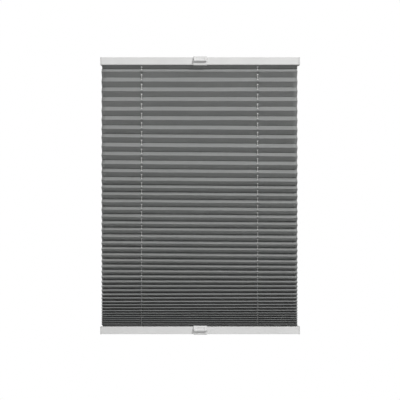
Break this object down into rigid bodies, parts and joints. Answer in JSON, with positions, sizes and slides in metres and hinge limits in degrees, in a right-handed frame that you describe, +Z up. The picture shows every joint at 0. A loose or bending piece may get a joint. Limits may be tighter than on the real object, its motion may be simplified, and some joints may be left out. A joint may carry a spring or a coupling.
{
  "type": "pleated blind",
  "caption": "Hanging pleated fabric window blind with a clip-handled rail at each end; the lower rail slides up two cords and folds the fabric.",
  "frame": {"origin": "middle of the top rail's upper face", "axes": "+Z up, along the drop; +X along the rails; the front, with the handles, faces -Y"},
  "size_m": [0.6, 0.0329, 0.8362],
  "materials": {
    "rail": "white powder coat on an aluminium extrusion",
    "cap": "moulded white plastic, fine matte",
    "handle": "moulded white plastic, satin",
    "cloth": "grey woven polyester, heat-set pleats",
    "strip": "extruded plastic",
    "guide": "moulded plastic",
    "cord_fitting": "moulded plastic",
    "spring": "bright steel wire",
    "cord": "pale braided polyester cord"
  },
  "bodies": {
    "top_rail_assembly": {"top_rail": "rail", "top_cap_left": "cap", "top_cap_right": "cap", "top_handle": "handle", "pleated_fabric": "cloth", "top_fabric_strip": "strip", "top_cord_guide_left": "guide", "top_cord_guide_right": "guide", "cord_stop_left": "cord_fitting", "cord_stop_right": "cord_fitting", "spring_plug_left": "cord_fitting", "spring_plug_right": "cord_fitting", "spring_anchor": "guide", "tension_spring_left": "spring", "tension_spring_right": "spring", "cord_left": "cord", "cord_right": "cord"},
    "bottom_rail_assembly": {"bottom_rail": "rail", "bottom_cap_left": "cap", "bottom_cap_right": "cap", "bottom_handle": "handle", "bottom_fabric_strip": "strip", "bottom_cord_guide_left": "guide", "bottom_cord_guide_right": "guide"}
  },
  "joints": [
    {"name": "bottom_rail_slide", "type": "slide", "parent": "top_rail_assembly", "child": "bottom_rail_assembly", "axis": [0, 0, 1], "range_m": [0, 0.727], "deforming": ["pleated_fabric"]}
  ]
}
